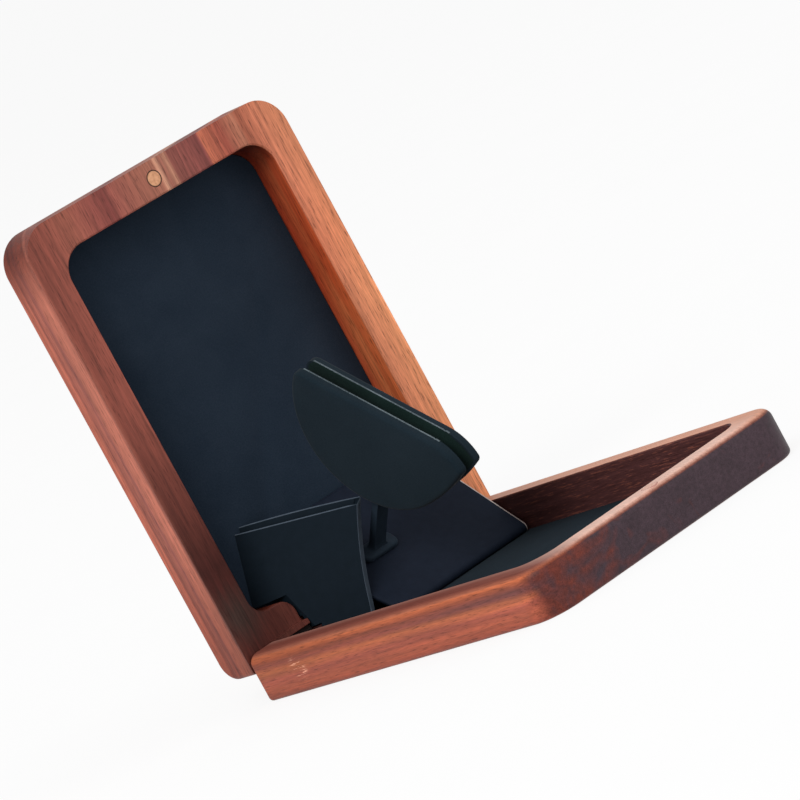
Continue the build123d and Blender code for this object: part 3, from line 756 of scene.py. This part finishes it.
def turnOn(bm, vertex, centre, degrees, steps):
    # an arc about X, on from the last vertex of a line
    swept = bmesh.ops.spin(bm, geom=[vertex], cent=centre, axis=(1, 0, 0), angle=math.radians(degrees),
                           steps=steps)
    return onlyOf(bmesh.types.BMVert, swept["geom_last"])[0]


def strapPlane():
    # the strap stands in this plane: its corner at the pad, the ways along its top and down, and its back
    lidCorner, padCorner, bandCorner = (fromPivot(*strapPlace[key]) for key in ("atLid", "atPad", "atBand"))
    topWay = (padCorner - lidCorner).normalized()
    face = topWay.cross((bandCorner - padCorner).normalized()).normalized()
    return padCorner, topWay, face.cross(topWay), face


def makeBand():
    # leather across the fold: a tab on the base's lining, the slope, and a tab up the lid's lining
    half = bandShape["thick"] / 2
    radius, tab, foldSteps = bandShape["foldRadius"], bandShape["tab"], bandShape["foldSteps"]
    reach = bandShape["middle"] * math.sqrt(2)
    baseZ = bandShape["baseFace"] + half
    lidY = bandShape["lidFace"] - half
    pivotY, pivotZ = pivot.y / mm, pivot.z / mm
    toeY = pivotY - reach + (baseZ - pivotZ)
    topZ = pivotZ + reach + (lidY - pivotY)
    fold = radius / math.tan(math.radians(22.5))
    x = bandShape["left"] * mm
    bm = bmesh.new()
    last = bm.verts.new((x, (toeY + tab) * mm, baseZ * mm))
    last = runOn(bm, last, (0, (fold - tab) * mm, 0))
    last = turnOn(bm, last, (x, (toeY + fold) * mm, (baseZ + radius) * mm), -135, foldSteps)
    slopeLength = (lidY - toeY) / math.sqrt(0.5) - 2 * fold
    step = math.sqrt(0.5) * mm * slopeLength / bandShape["slopeSteps"]
    for _ in range(bandShape["slopeSteps"]):
        last = runOn(bm, last, (0, step, step))
    last = turnOn(bm, last, (x, (lidY - radius) * mm, (topZ - fold) * mm), -135, foldSteps)
    runOn(bm, last, (0, 0, (fold - tab) * mm))
    width = (bandShape["right"] - bandShape["left"]) * mm
    line, strips = bm.edges[:], bandShape["strips"]
    for _ in range(strips):
        grown = bmesh.ops.extrude_edge_only(bm, edges=line)["geom"]
        line = onlyOf(bmesh.types.BMEdge, grown)
        bmesh.ops.translate(bm, verts=onlyOf(bmesh.types.BMVert, grown), vec=(width / strips, 0, 0))
    # a pale, pared line runs along its right edge
    pared = (bandShape["right"] - bandShape["pared"]) * mm
    cutAcross(bm, (pared, 0, 0), (1, 0, 0))
    for strip in bm.faces:
        if strip.calc_center_median().x > pared:
            strip.material_index = 1
    # it ends against the back of the strap
    padCorner, _, _, face = strapPlane()
    cutAcross(bm, padCorner + face * strapPlace["behind"] * mm, face, clearInner=True)
    band = finishPiece(bm, "hingeLeather", [bandLeather, cutThin])
    solidify = band.modifiers.new("thickness", "SOLIDIFY")
    solidify.thickness = bandShape["thick"] * mm
    solidify.offset = 0.0
    solidify.use_even_offset = True
    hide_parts("hinge_band")
    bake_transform(band)


makeBand()
print("hinge leather made")


strapShape = {
    "edge": 0.08,
    "edgeFrom": 50,                 # degrees
    "cutEvery": 1.0,                # slices across the fold, this far apart
    "bow": 0.7,                     # how far its right edge is drawn in at the middle
    "bowReach": 4.0,
    "bowLength": 19.0,
    "swell": 0.25,                  # how far the back leaf rises at the middle of its top
    "swellReach": 0.5,
    "step": 1.1,                    # how much lower the near leaf ends
    "nearFrom": 0.15,               # in front of the middle and above this depth, it is the near leaf's top
    "nearTop": 0.6,
    "nearFace": 0.5,
    "leafLine": 0.2,                # burnished lines along the leaves, and the fold's end, painted lighter as highlight
    "foldLine": 0.1,
}


def makeStrap():
    # a strip folded double on edge: the back leaf stands above the near one, and both have pale cut edges,
    # burnished and painted lighter as highlight
    padCorner, topWay, downWay, face = strapPlane()
    sideWay = (fromPivot(*strapPlace["atBand"]) - padCorner).normalized()
    rightWay = (topWay - sideWay * topWay.dot(sideWay)).normalized()
    topLength = (padCorner - fromPivot(*strapPlace["atLid"])).length
    leafLine, foldLine = strapShape["leafLine"], strapShape["foldLine"]
    bm = copyNode("lid_strap")
    joinFlats(bm, 1)
    for vertex in bm.verts:
        place = vertex.co - padCorner
        if place.dot(face) < -strapShape["nearFrom"] * mm and place.dot(downWay) < strapShape["nearTop"] * mm:
            vertex.co += downWay * strapShape["step"] * mm
    edges = [edge for edge in bm.edges if edge.calc_face_angle(0) > math.radians(strapShape["edgeFrom"])]
    bevelEdges(bm, edges, strapShape["edge"], 1)
    nearLine = strapShape["step"] + leafLine
    for depth, way in ((leafLine, downWay), (nearLine, downWay), (-foldLine, rightWay)):
        cutAcross(bm, padCorner + way * depth * mm, way)
    for strip in bm.faces:
        place = strip.calc_center_median() - padCorner
        down, near = place.dot(downWay) / mm, place.dot(face) < -strapShape["nearFace"] * mm
        if -place.dot(rightWay) < foldLine * mm or down < leafLine or (near and down < nearLine):
            strip.material_index = 1
    spread = [(v.co - pivot).dot(towardsBase) for v in bm.verts]
    cut = min(spread) + strapShape["cutEvery"] * mm
    while cut < max(spread):
        cutAcross(bm, pivot + towardsBase * cut, towardsBase)
        cut += strapShape["cutEvery"] * mm
    for vertex in bm.verts:
        place = vertex.co - padCorner
        left = -place.dot(rightWay) / mm
        down = place.dot(downWay) / mm
        share, fall = 1 - left / strapShape["bowReach"], down / strapShape["bowLength"]
        if share > 0 and 0 < fall < 1:
            vertex.co -= rightWay * 4 * fall * (1 - fall) * strapShape["bow"] * share * mm
        along = left * mm / topLength
        if down < strapShape["swellReach"] and 0 < along < 1:
            vertex.co -= downWay * 4 * along * (1 - along) * strapShape["swell"] * mm
    strap = finishPiece(bm, "foldedStrap", [strapLeather, cutLeatherHighlight], 12)
    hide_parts("lid_strap")
    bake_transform(strap)


makeStrap()
print("strap made")


# ring pad: in its own plane, x along the slot, y up from the hinge's pivot, z out of the front

padShape = {
    "yaw": 6.5,                     # degrees
    "axisOffset": 1.2,
    "half": 2.95,
    "slotHalf": 1.2,
    "cover": 0.4,
    "coverGap": 0.01,
    "arris": 0.7,
    "arrisSteps": 5,
    "crown": 0.14,
    "crownFade": 6.0,               # below the chord
    "grid": ((-18, 18), (18, 38)),  # the front is cut every 2 mm within these
    "centre": (-1.3, 35.3),
    "radius": 16.4,
    "chord": 38.4,
    "edgeInset": 0.02,
    "edgeFrom": 60,                 # degrees
    "edgeRound": 0.08,
    "lipProud": 0.45,
    "lipReach": 0.5,
    "lipRound": 0.1,
    "lipEdge": 5.0,                 # only edges longer than this are rounded
}

yaw = math.radians(padShape["yaw"])
padX = towardsBase * math.cos(yaw) + Vector((1, 0, 0)) * math.sin(yaw)
padFront = padX.cross(bisector)
padOrigin = fromPivot(0, 0, -padShape["axisOffset"])


def sectionOf(node, z, direction, outerOnly=False):
    # the outline where a plane across the pad, at z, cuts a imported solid, filled as flat faces
    bm = copyNode(node)
    cutAcross(bm, padOrigin + padFront * z * mm, direction, clearOuter=True, clearInner=True)
    joinFlats(bm, 0.3)
    bmesh.ops.edgeloop_fill(bm, edges=bm.edges)
    if outerOnly:
        outline = set(max(bm.faces, key=lambda face: face.calc_perimeter()).verts)
        bmesh.ops.delete(bm, geom=[v for v in bm.verts if v not in outline], context="VERTS")
    return bm


def makePadCover(name, node, side):
    # suede wrapped round its board: soft arris, faint crown, and a hollow behind that the board fills
    outwards = padFront * side
    half, arris = padShape["half"], padShape["arris"]
    slotSide = padShape["slotHalf"] + padShape["coverGap"]
    cutAt = 2.0
    bm = sectionOf(node, side * cutAt, outwards, outerOnly=True)
    bmesh.ops.translate(bm, verts=bm.verts, vec=outwards * (slotSide - cutAt) * mm)
    thicken(bm, bm.faces[:1], outwards * (half - arris - slotSide) * mm)
    front = max(bm.faces, key=lambda f: f.normal.dot(outwards))
    back = min(bm.faces, key=lambda f: f.normal.dot(outwards))
    for turn in range(padShape["arrisSteps"]):
        old, new = (math.radians(90 * step / padShape["arrisSteps"]) for step in (turn, turn + 1))
        insetFace(bm, front, arris * (math.cos(old) - math.cos(new)), arris * (math.sin(new) - math.sin(old)))
    insetFace(bm, back, padShape["cover"])
    hollow = half - padShape["cover"] - slotSide
    insetFace(bm, back, 0.001, -hollow, even=False)
    # the front is cut into a grid, and swells a little towards its middle
    facesFrom, crownFrom = (half - 0.05) * mm, (half - 0.02) * mm
    for way, (low, high) in zip((padX, bisector), padShape["grid"]):
        for cut in range(low, high, 2):
            frontFaces = [f for f in bm.faces if f.normal.dot(outwards) > 0.999
                          and (f.calc_center_median() - padOrigin).dot(outwards) > facesFrom]
            around = dict.fromkeys(g for f in frontFaces for g in [f, *f.edges[:], *f.verts[:]])
            bmesh.ops.bisect_plane(bm, geom=list(around), plane_co=padOrigin + way * cut * mm, plane_no=way,
                                   dist=1e-7)
    centreX, centreY = padShape["centre"]
    for vertex in bm.verts:
        local = vertex.co - padOrigin
        if local.dot(outwards) > crownFrom:
            x, y = local.dot(padX) / mm - centreX, local.dot(bisector) / mm - centreY
            fade = min(1.0, (padShape["chord"] - centreY - y) / padShape["crownFade"])
            swell = max(0.0, 1 - (x * x + y * y) / padShape["radius"] ** 2) * fade
            vertex.co += outwards * padShape["crown"] * max(0.0, swell) * mm
    cover = finishPiece(bm, name, [padSuede], 45)
    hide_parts(node)
    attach(cover, "pad")


def makePadEdge():
    # a strip of the same suede round the edge, a hair below the covers so that the seams show
    bm = sectionOf("pad_edge_strip", 0.0, padFront)
    half = padShape["slotHalf"] - padShape["edgeInset"]
    bmesh.ops.translate(bm, verts=bm.verts, vec=-padFront * half * mm)
    thicken(bm, bm.faces[:], padFront * 2 * half * mm)
    rims = [edge for edge in bm.edges if len(edge.link_faces) == 2
            and edge.calc_face_angle(0) > math.radians(padShape["edgeFrom"])]
    bevelEdges(bm, rims, padShape["edgeRound"])
    strip = finishPiece(bm, "padEdgeSuede", [padSuede], 45)
    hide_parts("pad_edge_strip")
    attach(strip, "pad")


def makeSlotLining():
    # one piece of suede folded down into the slot, its edges turned out as a thin lip on each side; the lip's
    # top is painted pale, a painted highlight
    bm = copyNode("slot_lining")
    joinFlats(bm, 1)
    lipFrom = (padShape["chord"] - padShape["lipReach"]) * mm
    top = [v for v in bm.verts if (v.co - padOrigin).dot(bisector) > lipFrom]
    bmesh.ops.translate(bm, verts=top, vec=bisector * padShape["lipProud"] * mm)
    lipFaces = [f for f in bm.faces if f.normal.dot(bisector) > 0.9
                and (f.calc_center_median() - padOrigin).dot(bisector) > lipFrom]
    for face in lipFaces:
        face.material_index = 1
    rims = [edge for face in lipFaces for edge in face.edges if edge.calc_length() > padShape["lipEdge"] * mm]
    bevelEdges(bm, rims, padShape["lipRound"])
    liner = finishPiece(bm, "slotSuede", [slotSuede, padLipHighlight], 45)
    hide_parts("slot_lining")
    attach(liner, "pad")


makePadCover("padCoverFront", "pad_cover_front", 1)
makePadCover("padCoverBack", "pad_cover_back", -1)
makePadEdge()
makeSlotLining()
print("ring pad made")


stemShape = {
    "foot": (8.0, 3.6, 1.3),        # long, wide, and its corners' radius
    "footEdge": 0.48,
    "footSlopes": ((0.12, 0.2), (0.3, 0.12)),
    "sole": (0.7, 0.27),            # its rim, and how far its middle stands down onto the band
    "from": 6.7,
    "to": 18.65,
    "collar": (1.95, 0.9),          # radius and height
    "waist": (1.62, 1.3),
    "post": (1.5, 2.2),
    "endRound": (0.25, 0.3),
    "bore": (0.62, 6.0),            # radius and depth, for the rivet
}


def makeStem():
    # leather-covered post: a flat foot glued to the band, a waist, and a bore for the rivet
    long, wide, corner = stemShape["foot"]
    x, y = long / 2 * mm, wide / 2 * mm
    bm = bmesh.new()
    foot = roundedFace(bm, [(-x, -y, 0), (x, -y, 0), (x, y, 0), (-x, y, 0)], [corner] * 4, 6)
    top = thicken(bm, [foot], (0, 0, stemShape["footEdge"] * mm))[0]
    sole = min(bm.faces, key=lambda face: face.calc_center_median().z)
    insetFace(bm, sole, *stemShape["sole"])
    for slope in stemShape["footSlopes"]:
        insetFace(bm, top, *slope)
    tall = stemShape["to"] - stemShape["from"]
    post, rounding = stemShape["post"][0], stemShape["endRound"]
    bore, boreDepth = stemShape["bore"]
    for radius, height in (stemShape["collar"], stemShape["waist"], stemShape["post"],
                           (post, tall - rounding[1]), (post - rounding[0], tall), (bore, tall),
                           (bore, tall - boreDepth)):
        insetFace(bm, top, 0.01, even=False)
        for vertex in top.verts:
            flat = Vector((vertex.co.x, vertex.co.y, 0)).normalized() * radius * mm
            vertex.co = Vector((flat.x, flat.y, height * mm))
    across = Vector((1, 0, 0))
    axes = Matrix((across, bisector.cross(across), bisector)).transposed().to_4x4()
    place = Matrix.Translation(padOrigin + bisector * stemShape["from"] * mm)
    bmesh.ops.transform(bm, matrix=place @ axes, verts=bm.verts)
    stem = finishPiece(bm, "padStem", [stemLeatherLightened], 50)
    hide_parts("pad_stem")
    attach(stem, "carrier")


makeStem()
print("stem made")
